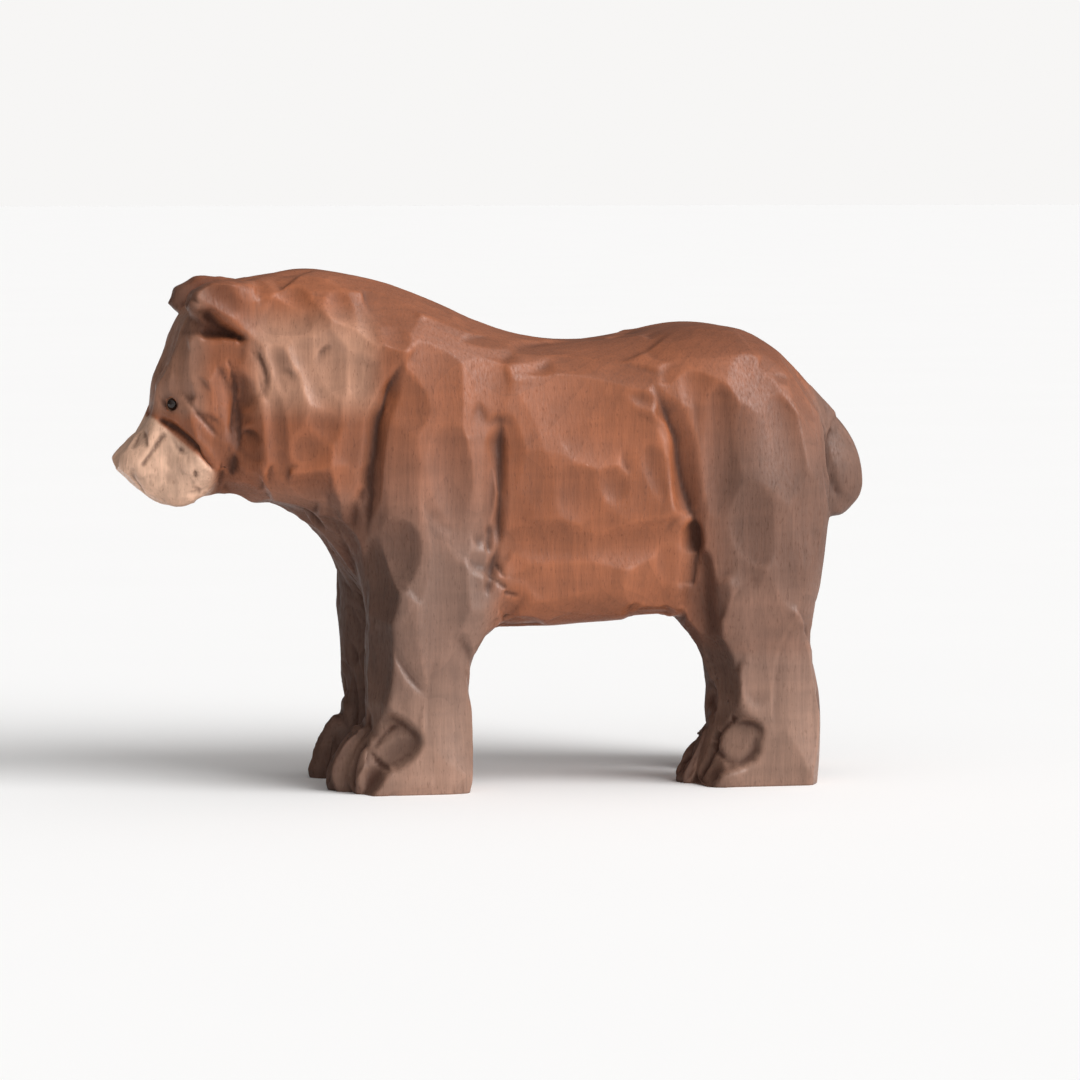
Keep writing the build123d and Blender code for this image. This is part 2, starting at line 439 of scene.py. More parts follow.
class Painter:
    """Builds one node material, a node at a time."""

    def __init__(self, name: str) -> None:
        """Start a material with only its output and its main shader.

        Args:
            name: its name.
        """
        self.material = bpy.data.materials.new(name)
        self.material.use_nodes = True
        self.tree = self.material.node_tree
        self.shader = self.tree.nodes["Principled BSDF"]

    def node(self, kind: str, settings: dict | None = None, **inputs: object) -> bpy.types.Node:
        """Add a node; inputs are named with underscores for spaces and take values or sockets.

        Args:
            kind: the node type.
            settings: attributes to set on the node.
            inputs: values or sockets for its inputs.

        Returns:
            the node.
        """
        made = self.tree.nodes.new(kind)
        for key, value in (settings or {}).items():
            setattr(made, key, value)
        for key, value in inputs.items():
            numbered = key[0] == "i" and key[1:].isdigit()
            self.feed(made.inputs[int(key[1:]) if numbered else key.replace("_", " ")], value)
        return made

    def feed(self, socket: bpy.types.NodeSocket, value: object) -> None:
        """Set a socket to a value, or link another socket to it.

        Args:
            socket: the input socket.
            value: a value, or an output socket.
        """
        if isinstance(value, bpy.types.NodeSocket):
            self.tree.links.new(value, socket)
        else:
            socket.default_value = value

    def math(
        self, operation: str, first: object, second: object = 0.0, clamp: bool = False
    ) -> bpy.types.NodeSocket:
        """A sum on one or two numbers."""
        settings = {"operation": operation, "use_clamp": clamp}
        return self.node("ShaderNodeMath", settings, i0=first, i1=second).outputs[0]

    def mix(self, share: object, first: object, second: object, blend: str = "MIX") -> bpy.types.NodeSocket:
        """Blend two colours.

        Args:
            share: how much of the second colour shows.
            first: the first colour.
            second: the second colour.
            blend: the blend type.

        Returns:
            the blended colour.
        """
        made = self.tree.nodes.new("ShaderNodeMix")
        made.data_type = "RGBA"
        made.blend_type = blend
        self.feed(made.inputs[0], share)
        self.feed(made.inputs[6], first)
        self.feed(made.inputs[7], second)
        return made.outputs[2]

    def spread(
        self, value: object, low: float, high: float, to_low: float, to_high: float
    ) -> bpy.types.NodeSocket:
        """Map a range of numbers to another and clamp it.

        Args:
            value: the number to map.
            low: the low end of the range.
            high: the high end of the range.
            to_low: what the low end becomes.
            to_high: what the high end becomes.

        Returns:
            the mapped number.
        """
        inputs = {"Value": value, "From Min": low, "From Max": high, "To Min": to_low, "To Max": to_high}
        made = self.tree.nodes.new("ShaderNodeMapRange")
        for key, number in inputs.items():
            self.feed(made.inputs[key], number)
        return made.outputs[0]

    def grain(
        self, stretch: tuple[float, float, float], detail: float, seed: float = 0.0, rough: float = 0.55
    ) -> bpy.types.NodeSocket:
        """Noise on the piece's own coordinates, in cells per millimetre along X, Y and Z.

        Args:
            stretch: cells per millimetre each way.
            detail: how many finer layers it has.
            seed: an offset that makes it differ.
            rough: how strong the finer layers are.

        Returns:
            the noise.
        """
        place = self.node("ShaderNodeTexCoord").outputs["Object"]
        size = tuple(value / MM for value in stretch)
        start = (seed, seed * 0.7, seed * 1.3)
        mapped = self.node("ShaderNodeMapping", Vector=place, Scale=size, Location=start).outputs[0]
        made = self.node("ShaderNodeTexNoise", Vector=mapped, Scale=1.0, Detail=detail, Roughness=rough)
        return made.outputs[0]

    def attribute(self, name: str) -> bpy.types.NodeSocket:
        """A number stored on the piece's vertices."""
        return self.node("ShaderNodeAttribute", {"attribute_name": name}).outputs["Fac"]


def colour(red: float, green: float, blue: float) -> tuple[float, float, float, float]:
    """A colour from display values of 0 to 255, as the shader's linear values.

    Args:
        red: the red display value.
        green: the green display value.
        blue: the blue display value.

    Returns:
        linear red, green, blue and 1.
    """
    linear = [((c / 255 + 0.055) / 1.055) ** 2.4 if c > 10 else c / 255 / 12.92 for c in (red, green, blue)]
    return (*linear, 1.0)


@dataclass(frozen=True)
class StainedWood:
    """Close-grained wood with a satin oil, stained orange brown on the trunk and greyer on legs and tail."""

    trunk: tuple = colour(137, 80, 51)
    legs: tuple = colour(123, 93, 79)
    bare: tuple = colour(206, 166, 141)
    # deep is the colour of painted shade in creases and hollows.
    deep: tuple = colour(58, 30, 18)
    # The colour of the painted highlight specks.
    painted_highlight_colour: tuple = colour(206, 172, 156)
    roughness: float = 0.42

    def material(self) -> bpy.types.Material:
        """The wood's node material. It reads the attributes that the carving leaves on the vertices, painted
        shade and painted highlights among them.

        Returns:
            the material.
        """
        paint = Painter("stained_wood")
        fibre = paint.grain((2.6, 2.6, 0.16), 4.0)
        streak = paint.grain((0.55, 0.55, 0.03), 3.0, 3.1)
        speck = paint.grain((3.4, 3.4, 0.9), 2.0, 7.7)
        blotch = paint.grain((0.055, 0.06, 0.07), 2.0, 1.9)
        brush = paint.grain((0.05, 0.35, 0.5), 3.0, 5.3)
        rings = self.rings(paint)
        stain = paint.attribute("stain")
        pale = paint.attribute("pale")
        groove = paint.attribute("groove")
        ridge = paint.attribute("ridge")
        tone = paint.attribute("tone")

        base = paint.mix(stain, self.trunk, self.legs)
        base = paint.mix(pale, base, self.bare)
        shade = paint.spread(fibre, 0.3, 0.7, 0.90, 1.09)
        shade = paint.math("MULTIPLY", shade, paint.spread(streak, 0.3, 0.7, 0.91, 1.08))
        shade = paint.math("MULTIPLY", shade, paint.spread(blotch, 0.3, 0.7, 0.86, 1.12))
        shade = paint.math("MULTIPLY", shade, paint.spread(brush, 0.3, 0.7, 0.92, 1.08))
        shade = paint.math("MULTIPLY", shade, paint.spread(tone, -1.0, 1.0, 0.91, 1.09))
        shade = paint.math("MULTIPLY", shade, paint.spread(rings, 0.0, 1.0, 1.02, 0.92))
        tinted = paint.mix(1.0, base, self.grey(paint, shade), "MULTIPLY")
        pores = paint.spread(speck, 0.60, 0.72, 0.0, 0.45)
        tinted = paint.mix(pores, tinted, paint.mix(1.0, tinted, (0.45, 0.38, 0.34, 1.0), "MULTIPLY"))
        # Darker colour on paws, ears, eyes, thighs, back and tail, with painted shade on faces turned from
        # the key, in hollows and on chosen facets.
        dark_colour_and_painted_shade = paint.math("MULTIPLY", paint.attribute("dark_colour_and_painted_shade"), 0.85, clamp=True)
        tinted = paint.mix(dark_colour_and_painted_shade, tinted, paint.mix(1.0, tinted, (0.38, 0.325, 0.295, 1.0), "MULTIPLY"))
        # Painted highlight: pale specks on the facets that catch the key.
        painted_highlight_share = paint.attribute("painted_highlight_share")
        painted_highlight_specks = paint.grain((1.9, 1.9, 1.3), 3.0, 9.1, 0.65)
        painted_highlight_specks = paint.math("MULTIPLY", paint.spread(painted_highlight_specks, 0.44, 0.60, 0.0, 0.8), painted_highlight_share)
        tinted = paint.mix(painted_highlight_specks, tinted, self.painted_highlight_colour)
        worn = paint.math("MULTIPLY", ridge, 0.22)
        tinted = paint.mix(worn, tinted, paint.mix(1.0, tinted, (1.5, 1.5, 1.5, 1.0), "MULTIPLY"))
        # Painted shade in creases and hollows.
        tinted = paint.mix(paint.math("MULTIPLY", groove, 0.8, clamp=True), tinted, self.deep)
        paint.feed(paint.shader.inputs["Base Color"], tinted)

        rough = paint.spread(speck, 0.3, 0.7, self.roughness - 0.12, self.roughness + 0.14)
        rough = paint.math("ADD", rough, paint.spread(tone, -1.0, 1.0, -0.05, 0.06))
        rough = paint.math("ADD", rough, paint.math("MULTIPLY", groove, 0.25))
        rough = paint.math("ADD", rough, paint.math("MULTIPLY", dark_colour_and_painted_shade, 0.3))
        rough = paint.math("SUBTRACT", rough, paint.math("MULTIPLY", painted_highlight_share, 0.1), clamp=True)
        paint.feed(paint.shader.inputs["Roughness"], rough)
        paint.shader.inputs["Specular IOR Level"].default_value = 0.36

        relief = paint.math("ADD", paint.math("MULTIPLY", fibre, 0.6), paint.math("MULTIPLY", speck, 0.4))
        bump = paint.node("ShaderNodeBump", Strength=0.35, Distance=0.12 * MM, Height=relief)
        paint.feed(paint.shader.inputs["Normal"], bump.outputs[0])
        return paint.material

    @staticmethod
    def grey(paint: Painter, value: object) -> bpy.types.NodeSocket:
        """The same number in all three channels of a colour."""
        return paint.node("ShaderNodeCombineColor", Red=value, Green=value, Blue=value).outputs[0]

    @staticmethod
    def rings(paint: Painter) -> bpy.types.NodeSocket:
        """Growth rings: upright shells about the heart of the tree, which lay off the bear's far side.

        Args:
            paint: the material being built.

        Returns:
            the strength of the rings.
        """
        place = paint.node("ShaderNodeTexCoord").outputs["Object"]
        heart = (12.0, -70.0, 0.0)
        moved = paint.node("ShaderNodeMapping", Vector=place, Location=heart, Scale=(1 / MM,) * 3)
        wobble = paint.node("ShaderNodeTexNoise", Vector=moved.outputs[0], Scale=0.05, Detail=2.0)
        shift = paint.node("ShaderNodeVectorMath", {"operation": "SCALE"}, i0=wobble.outputs[1])
        shift.inputs["Scale"].default_value = 5.0
        added = {"operation": "ADD"}
        bent = paint.node("ShaderNodeVectorMath", added, i0=moved.outputs[0], i1=shift.outputs[0])
        wave = paint.node(
            "ShaderNodeTexWave",
            {"wave_type": "RINGS", "rings_direction": "Z", "wave_profile": "SAW"},
            Vector=bent.outputs[0],
            Scale=0.19,
            Distortion=0.6,
            Detail=1.0,
        )
        return paint.math("POWER", wave.outputs["Fac"], 3.0)


@dataclass(frozen=True)
class EyeGlass:
    """Near-black glass for the eye beads."""

    tint: tuple = colour(34, 20, 13)

    def material(self) -> bpy.types.Material:
        """Dark glass with a faint mottle below its gloss.

        Returns:
            the material.
        """
        paint = Painter("eye_glass")
        mottle = paint.grain((1.6, 1.6, 1.6), 2.0, 2.2)
        paint.feed(paint.shader.inputs["Base Color"], paint.mix(mottle, self.tint, colour(20, 12, 9)))
        paint.feed(paint.shader.inputs["Roughness"], paint.spread(mottle, 0.3, 0.7, 0.12, 0.22))
        return paint.material


@dataclass(frozen=True)
class PinWire:
    """Drawn steel wire for the eye shanks."""

    tint: tuple = colour(188, 188, 186)

    def material(self) -> bpy.types.Material:
        """Steel with fine draw marks along the wire.

        Returns:
            the material.
        """
        paint = Painter("pin_wire")
        marks = paint.grain((7.0, 7.0, 7.0), 3.0, 4.4)
        paint.feed(paint.shader.inputs["Base Color"], paint.mix(marks, self.tint, colour(150, 150, 150)))
        paint.feed(paint.shader.inputs["Roughness"], paint.spread(marks, 0.3, 0.7, 0.25, 0.45))
        paint.shader.inputs["Metallic"].default_value = 1.0
        return paint.material


# ---------------------------------------------------------------------------------------------
# The bear
# ---------------------------------------------------------------------------------------------


@dataclass
class Eyes:
    """The two bead eyes on their shanks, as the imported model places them."""

    bead_radius: float = 1.0
    shank_radius: float = 0.4
    clearance: float = 0.05

    def place(self, side: Side) -> tuple[Vector, Vector]:
        """The middle of a bead, in millimetres, and the way it looks out of the head.

        Args:
            side: which side of the bear.

        Returns:
            the middle and the direction.
        """
        name = side.name.lower()
        low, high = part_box(f"{name}_eye_bead")
        bead = (low + high) / 2 / MM
        low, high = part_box(f"{name}_eye_pin")
        pin = (low + high) / 2 / MM
        return bead, (bead - pin).normalized()

    def plug(self, solid: bmesh.types.BMesh) -> None:
        """Fill the drilled sockets of the blank, so that the face can be carved whole.

        Args:
            solid: the mesh being built.
        """
        for side in Side:
            bead, out = self.place(side)
            self.rod(solid, bead + out * 1.0, bead - out * 7.2, self.bead_radius * 1.25)

    @staticmethod
    def rod(solid: bmesh.types.BMesh, top: Vector, bottom: Vector, radius: float) -> None:
        """Add a round rod between two points, in millimetres.

        Args:
            solid: the mesh being built.
            top: one end.
            bottom: the other end.
            radius: its radius, in millimetres.
        """
        turn = (top - bottom).to_track_quat("Z", "Y").to_matrix().to_4x4()
        where = Matrix.Translation((top + bottom) / 2 * MM) @ turn
        bmesh.ops.create_cone(
            solid, cap_ends=True, segments=32, radius1=radius * MM, radius2=radius * MM,
            depth=(top - bottom).length * MM, matrix=where,
        )

    def socket(self, solid: bmesh.types.BMesh, bead: Vector, out: Vector) -> None:
        """Add the shape of one eye's hole: the seat of the bead, its mouth and the hole for the shank.

        Args:
            solid: the mesh being built.
            bead: the middle of the bead, in millimetres.
            out: the way it looks out.
        """
        seat = self.bead_radius + self.clearance
        middle = Matrix.Translation(bead * MM)
        bmesh.ops.create_icosphere(solid, subdivisions=4, radius=seat * MM, matrix=middle)
        self.rod(solid, bead + out * 3.0, bead, seat)
        self.rod(solid, bead, bead - out * 7.2, self.shank_radius + self.clearance)

    def dress(self) -> None:
        """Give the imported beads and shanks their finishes."""
        glass, wire = EyeGlass().material(), PinWire().material()
        for name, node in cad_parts.items():
            finish = glass if name.endswith("bead") else wire
            if name.endswith(("bead", "pin")):
                node.data.materials.clear()
                node.data.materials.append(finish)
                LOG.info("dressed %s", name)


@dataclass
class Head:
    """Face, ears and muzzle."""

    back: float = -40.0
    cheek_facet: float = 3.4
    muzzle_chip: float = 1.5
    stop_depth: float = 1.2
    hollow_depth: float = 2.4
    cheek_scoop: float = 0.22

    def shape(self, bench: Bench, side: Side) -> None:
        """Broad planes: the hollow under the ear, the step from the neck to the cheek, and the brow.

        Args:
            bench: the wood on the bench.
            side: which side of the bear.
        """
        hand = side.value
        bench.swell((-49.0, 6.0 * hand, 61.2), (3.4, 4.0, 3.2), 0.25)
        bench.swell((-48.5, 12.5 * hand, 66.0), (5.0, 5.0, 5.0), -0.5)
        bench.swell((-52.5, 7.2 * hand, 61.0), (3.0, 3.4, 3.2), -0.55)
        bench.swell((-54.6, 0.0, 60.4), (2.2, 7.0, 2.6), -0.4)
        bench.swell((-48.2, 10.0 * hand, 80.2), (3.6, 5.0, 2.4), -0.7)
        bench.swell((-59.0, 2.4 * hand, 50.2), (2.4, 4.0, 1.8), 0.5)

    def carve(self, bench: Bench, side: Side) -> None:
        """Facets of the cheek and brow, then the deep lines of the face.

        Args:
            bench: the wood on the bench.
            side: which side of the bear.
        """
        x, y, z = bench.points.T
        own = (y * side.value > 0) & (x < self.back) & (z > 44)
        down = np.array([0.35, 0.0, -1.0])
        bench.cover(own & (z < 70), 3.4, (self.cheek_facet, 2.2), 0.12, down, 0.04, 0.08)
        cuts = [
            HandCut(-44.6, 60.0, 6.4, 2.4, 0.25, (0.0, -0.05)),
            HandCut(-51.0, 63.0, 3.0, 1.6, 0.30, (0.0, 0.10)),
            HandCut(-48.2, 61.0, 3.4, 1.6, 0.35, (0.0, -0.12)),
            HandCut(-47.2, 55.6, 3.4, 2.2, 0.75, (0.0, -0.08)),
            HandCut(-44.6, 52.8, 3.2, 2.0, 0.70, (0.0, -0.02)),
            HandCut(-46.6, 68.6, 3.4, 4.0, 0.10, (0.05, -0.04)),
            HandCut(-50.6, 66.6, 4.6, 1.8, 0.45, (0.0, 0.05)),
        ]
        bench.hand_cuts([replace(cut, scoop=self.cheek_scoop) for cut in cuts], side)
        self.hollow(bench, side)
        cheek_line = [(-50.4, 62.0), (-47.2, 58.2), (-44.4, 55.0)]
        bench.v_cut(bench.line(cheek_line, side), 0.4, (0.55, 0.4))

    def hollow(self, bench: Bench, side: Side) -> None:
        """Undercut the ear: a wedge set back between the brow's ledge and the ear's lower rim.

        Args:
            bench: the wood on the bench.
            side: which side of the bear.
        """
        x, y, z = bench.points.T
        out = y * side.value
        roof = np.interp(x, (-50.4, -46.0, -44.8, -40.6), (75.2, 75.0, 73.4, 70.5))
        floor = 71.3 - 0.09 * (x + 50.0)
        inside = (z > floor) & (z < roof) & (x > -52.0) & (x < -40.4) & (out > 4.0)
        inside = bench.average(inside.astype(float), 2) * between(out, 4.5, 7.5)
        deeper = 0.35 + 0.65 * between(x, -50.0, -45.6)
        bench.points[:, 1] -= side.value * inside * self.hollow_depth * deeper
        # Painted shadow of the ear on the wedge, darkest at its back.
        darker = 0.5 + 0.5 * between(x, -50.0, -46.0)
        bench.shade = np.maximum(bench.shade, 0.95 * inside * darker)
        bench.refresh()

    def muzzle(self, bench: Bench, side: Side) -> None:
        """The stop line, the bridge's edge, the nose and the mouth.

        Args:
            bench: the wood on the bench.
            side: which side of the bear.
        """
        x, y, z = bench.points.T
        below_brow = (z < 57.5) & (z - 50.5 < (x + 46.0) * -0.9)
        snout = (y * side.value > 3.0) & (x < -46.0) & (x > -56.5) & below_brow
        forward = np.array([-0.6, 0.0, -0.8])
        bench.cover(snout, 1.8, (self.muzzle_chip, 1.1), 0.05, forward, 0.04, 0.03)
        stop = [(-54.4, 58.8), (-52.2, 57.2), (-50.0, 55.2), (-47.4, 52.6), (-45.4, 50.0)]
        walls = (1.0, 0.6) if side is Side.LEFT else (0.6, 1.0)
        bench.v_cut(bench.line(stop, side), self.stop_depth, walls, 0.1)
        bridge = [(-52.5, 56.2), (-54.7, 53.2), (-56.6, 50.5)]
        bench.v_cut(bench.line(bridge, side, 0.5), 0.5, (0.55, 0.55), 0.12)
        mouth = [(-48.5, 50.4), (-48.4, 48.9)]
        bench.v_cut(bench.line(mouth, side, 0.3), 0.8, (0.45, 0.45), 0.2)
        bench.v_cut(bench.line([(-50.9, 53.8), (-50.3, 53.3)], side, 0.3), 0.35, (0.4, 0.4), 0.2)

    @staticmethod
    def bridge(bench: Bench) -> None:
        """Scrape the dip between brow and muzzle smooth.

        Args:
            bench: the wood on the bench.
        """
        x, y, z = bench.points.T
        dip = fade((x, -52.6, -54.4), (z, 55.0, 57.0), (z, 64.0, 61.5), (np.abs(y), 7.5, 6.0))
        far = fade((x, -53.4, -54.8), (z, 56.0, 58.0), (z, 63.0, 61.0))
        bench.soften(20, np.maximum(dip, far))

    def ear(self, bench: Bench, side: Side) -> None:
        """The flap's top planes and the groove along its front rim.

        Args:
            bench: the wood on the bench.
            side: which side of the bear.
        """
        hand = side.value
        crown = np.array([-45.5, 10.6 * hand, 79.0])
        bench.cut(Stroke(crown, np.array([1.0, 0.0, 0.12]), 4.6, 3.0, 0.08, (0.0, 0.0), 0.03))
        flap = bench.seen(-44.6, 77.0, side)
        bench.cut(Stroke(flap, np.array([0.85, 0.0, -0.5]), 4.4, 2.2, 0.25))
        rim = [(-49.6, 77.4), (-48.2, 76.0), (-46.2, 75.6)]
        bench.v_cut(bench.line(rim, side, 0.4), 0.5, (0.6, 0.8), 0.3)
        bench.swell((-50.2, 9.3 * hand, 76.6), (2.2, 2.6, 2.4), -0.9)
        root, reach = np.array([-39.6, 9.0 * hand, 78.8]), np.array([2.6, 6.0, 2.6])
        away = np.linalg.norm((bench.points - root) / reach, axis=1)
        bench.soften(16, between(away, 1.0, 0.5))


@dataclass
class Neck:
    """Neck, mane and throat, scooped with a broad gouge."""

    scoop: float = 0.4

    def carve(self, bench: Bench, side: Side) -> None:
        """The step behind the cheek and the overlapping scoops of the mane.

        Args:
            bench: the wood on the bench.
            side: which side of the bear.
        """
        hand = side.value
        bench.swell((-35.5, 15.0 * hand, 56.0), (7.0, 6.0, 17.0), 1.2)
        bench.swell((-38.6, 0.0, 45.4), (3.0, 12.0, 2.6), 0.5)
        bench.swell((-33.4, 0.0, 43.0), (2.8, 12.0, 2.4), -0.3)
        bench.refresh()
        x, y, z = bench.points.T
        own = (y * hand > 1.0) & (x > -42.0) & (x < -17.5) & (z > 38) & (z < 76)
        down = np.array([0.3, 0.0, -1.0])
        bench.cover(own, 4.4, (4.2, 2.6), 0.32, down, 0.09)
        # The seventh number is painted shade on the facet, or below 0 painted highlight.
        cuts = [
            HandCut(-34.6, 72.4, 4.6, 2.9, 0.15, (0.0, 0.02), -0.2),
            HandCut(-36.2, 66.4, 4.0, 2.0, 0.25, (0.0, -0.06), 0.0),
            HandCut(-31.2, 65.6, 7.0, 2.4, 0.45, (0.0, 0.06), -0.25),
            HandCut(-27.4, 66.0, 6.0, 2.6, 0.35, (0.0, -0.05), 0.0),
            HandCut(-23.2, 63.0, 5.6, 2.6, 0.40, (0.0, 0.08), -0.3),
            HandCut(-28.6, 56.6, 3.4, 3.0, 1.30, (0.04, 0.0), 0.0),
            HandCut(-34.2, 59.0, 6.0, 2.6, 0.15, (0.0, 0.05), 0.0),
            HandCut(-37.2, 56.2, 7.0, 1.9, 0.12, (0.0, -0.06), 0.12),
            HandCut(-31.4, 53.4, 3.6, 2.8, 0.60, (0.0, 0.0), 0.0),
            HandCut(-25.6, 51.0, 4.6, 2.6, 0.30, (0.0, -0.06), 0.12),
            HandCut(-31.6, 47.8, 2.8, 2.8, 0.60, (-0.12, -0.08), 0.4),
            HandCut(-26.4, 45.4, 3.2, 2.6, 0.40, (0.0, 0.05), 0.5),
            HandCut(-25.6, 40.2, 3.6, 2.4, 0.20, (0.0, -0.12), 0.75),
        ]
        bench.hand_cuts([replace(cut, scoop=self.scoop) for cut in cuts], side)
        hollow = between(bench.points[:, 0], -44.0, -42.2) * between(bench.points[:, 0], -37.4, -39.4)
        hollow *= between(bench.points[:, 2], 45.0, 48.0) * between(bench.points[:, 2], 66.0, 62.0)
        bench.soften(16, hollow * (y * hand > 1.0))
        bench.refresh()
        step = [(-43.6, 68.6), (-42.4, 62.6), (-42.9, 57.6)]
        step += [(-43.4, 53.6), (-44.4, 50.6), (-44.2, 47.0)]
        walls = (3.4, 0.9) if side is Side.LEFT else (0.9, 3.4)
        bench.v_cut(bench.line(step, side), 2.5, walls, 0.25)
        second = [(-40.4, 70.6), (-39.2, 67.0), (-38.4, 62.6), (-37.2, 61.0)]
        bench.v_cut(bench.line(second, side), 0.7, (1.5, 1.0))


@dataclass
class Trunk:
    """Back, flanks, shoulders and haunches."""

    def sides(self, bench: Bench, side: Side) -> None:
        """The big planes of the side, shoulder to haunch.

        Args:
            bench: the wood on the bench.
            side: which side of the bear.
        """
        hand = side.value
        bench.swell((25.0, 20.0 * hand, 50.0), (5.0, 6.0, 15.0), 0.45)
        bench.swell((-5.0, 20.0 * hand, 50.0), (4.0, 6.0, 14.0), 0.45)
        bench.swell((38.0, 21.0 * hand, 50.0), (10.0, 6.0, 16.0), 0.3)
        bench.refresh()
        x, y, z = bench.points.T
        flank = (y * hand > 12) & (x > -2) & (x < 28) & (z < 60) & (z > 33)
        bench.cover(flank, 7.0, (7.0, 5.2), 0.16, np.array([1.0, 0.0, 0.15]), 0.035)
        shoulder = (y * hand > 12) & (x > -23) & (x < -1) & (z > 38) & (z < 63)
        bench.cover(shoulder, 6.0, (7.5, 4.4), 0.2, np.array([0.1, 0.0, -1.0]), 0.03)
        haunch = (y * hand > 10) & (x > 28) & (z > 34) & (z < 62)
        bench.cover(haunch, 5.6, (6.6, 3.8), 0.25, np.array([0.15, 0.0, -1.0]), 0.04)
        # The seventh number is painted shade on the facet, or below 0 painted highlight on facets that catch
        # the key.
        cuts = [
            HandCut(-16.6, 60.4, 5.0, 3.6, 0.30, (0.0, 0.04), 0.0, 0.20),
            HandCut(-17.6, 49.6, 9.0, 3.0, 0.05, (0.0, 0.05), -0.15, 0.20),
            HandCut(-10.6, 49.2, 8.0, 3.6, 0.12, (0.02, -0.05), -0.9, 0.35),
            HandCut(-5.4, 49.6, 8.6, 1.8, 0.00, (0.0, -0.10), -0.6, 0.25),
            HandCut(16.4, 54.6, 7.0, 4.6, 1.35, (0.02, -0.03), -0.35, 0.35),
            HandCut(9.4, 46.2, 4.8, 4.0, 0.30, (0.0, -0.04), -0.5, 0.40),
            HandCut(15.8, 47.8, 3.2, 2.2, 0.20, (0.0, -0.03), -0.3, 0.30),
            HandCut(21.8, 50.0, 4.6, 2.0, 0.30, (0.0, -0.08), -0.8, 0.35),
            HandCut(20.2, 61.0, 2.2, 1.4, 1.20, (0.0, -0.08), -0.3, 0.30),
            HandCut(6.6, 38.6, 9.0, 3.4, 1.50, (0.0, 0.0), 0.0, 0.20),
            HandCut(20.0, 38.8, 8.0, 3.4, 1.60, (0.0, 0.02), 0.0, 0.20),
            HandCut(32.6, 51.0, 9.6, 3.0, 0.04, (0.0, 0.03), 0.0, 0.25),
            HandCut(43.6, 51.0, 9.0, 3.8, 0.22, (0.02, -0.06), -0.55, 0.40),
            HandCut(38.0, 42.6, 6.4, 3.6, 0.15, (-0.03, 0.05), -0.35, 0.40),
            HandCut(38.2, 53.6, 6.6, 2.4, 0.10, (0.0, 0.02), -0.15, 0.25),
            HandCut(47.4, 42.0, 7.0, 2.6, -0.10, (0.0, -0.04), 0.1, 0.25),
        ]
        bench.hand_cuts(cuts, side)

    def folds(self, bench: Bench, side: Side) -> None:
        """The deep lines: shoulder, elbow, flank and thigh.

        Args:
            bench: the wood on the bench.
            side: which side of the bear.
        """
        def run(places: list, depth: float, ahead: float, behind: float, taper: float) -> None:
            """Cut a line downwards; ahead and behind are its walls towards the head and the tail."""
            walls = (behind, ahead) if side is Side.LEFT else (ahead, behind)
            bench.v_cut(bench.line(places, side), depth, walls, taper)

        shoulder = [(-17.2, 67.2), (-19.6, 62.6), (-21.4, 58.0), (-22.2, 50.0), (-22.6, 41.0)]
        run(shoulder, 1.7, 1.6, 2.2, 0.22)
        run([(-1.6, 58.0), (-1.8, 50.0), (-1.9, 44.0), (-2.0, 38.0)], 1.2, 3.0, 1.0, 0.2)
        run([(-3.7, 42.4), (-3.7, 36.4)], 0.5, 0.8, 0.8, 0.3)
        run([(-2.2, 38.6), (-3.4, 34.4), (-4.2, 30.4)], 0.7, 1.2, 1.0, 0.25)
        splinters = (
            [(-2.8, 36.2), (-1.2, 33.4)],
            [(-3.8, 34.0), (-0.6, 31.6)],
            [(-1.8, 31.4), (1.2, 30.6)],
        )
        for splinter in splinters:
            run(splinter, 0.5, 0.5, 0.5, 0.3)
        flank = [(22.6, 62.6), (24.8, 58.4), (26.4, 55.0), (26.8, 51.0)]
        flank += [(27.4, 47.0), (28.6, 42.6), (29.0, 39.0)]
        run(flank, 1.9, 2.6, 2.5, 0.22)
        run([(29.2, 43.0), (29.2, 36.0), (28.8, 29.6)], 1.7, 2.6, 1.2, 0.2)

    def top(self, bench: Bench) -> None:
        """Long shallow strokes over the back, the rump and the belly.

        Args:
            bench: the wood on the bench.
        """
        x, y, z = bench.points.T
        back = (bench.normals[:, 2] > 0.35) & (z > 58) & (x > -40) & (x < 52)
        bench.cover(back, 6.2, (8.5, 3.6), 0.08, np.array([1.0, 0.0, 0.0]), 0.012, 0.05)
        belly = (bench.normals[:, 2] < -0.6) & (z > 18) & (x > 0) & (x < 26) & (np.abs(y) < 15)
        bench.cover(belly, 6.0, (6.5, 3.4), 0.12, np.array([1.0, 0.0, 0.0]), 0.02, 0.04)
        chest = (bench.normals[:, 0] < -0.5) & (z > 26) & (z < 46) & (x < -18)
        bench.cover(chest, 4.6, (4.6, 2.8), 0.2, np.array([0.0, 0.0, 1.0]), 0.03, 0.05)
        throat = (bench.normals[:, 2] < -0.4) & (z > 34) & (x > -45) & (x < -22)
        bench.cover(throat, 4.8, (4.6, 2.8), 0.15, np.array([0.6, 0.0, -0.6]), 0.02, 0.04)
        under = between(bench.level[:, 2], -0.2, -0.6) * between(z, 30.0, 34.0) * between(x, -18.0, -22.0)
        bench.soften(10, 0.8 * under)
        rump = (bench.normals[:, 0] > 0.35) & (z > 28) & (x > 44)
        bench.cover(rump, 5.4, (6.4, 3.4), 0.14, np.array([0.0, 0.0, 1.0]), 0.02, 0.05)


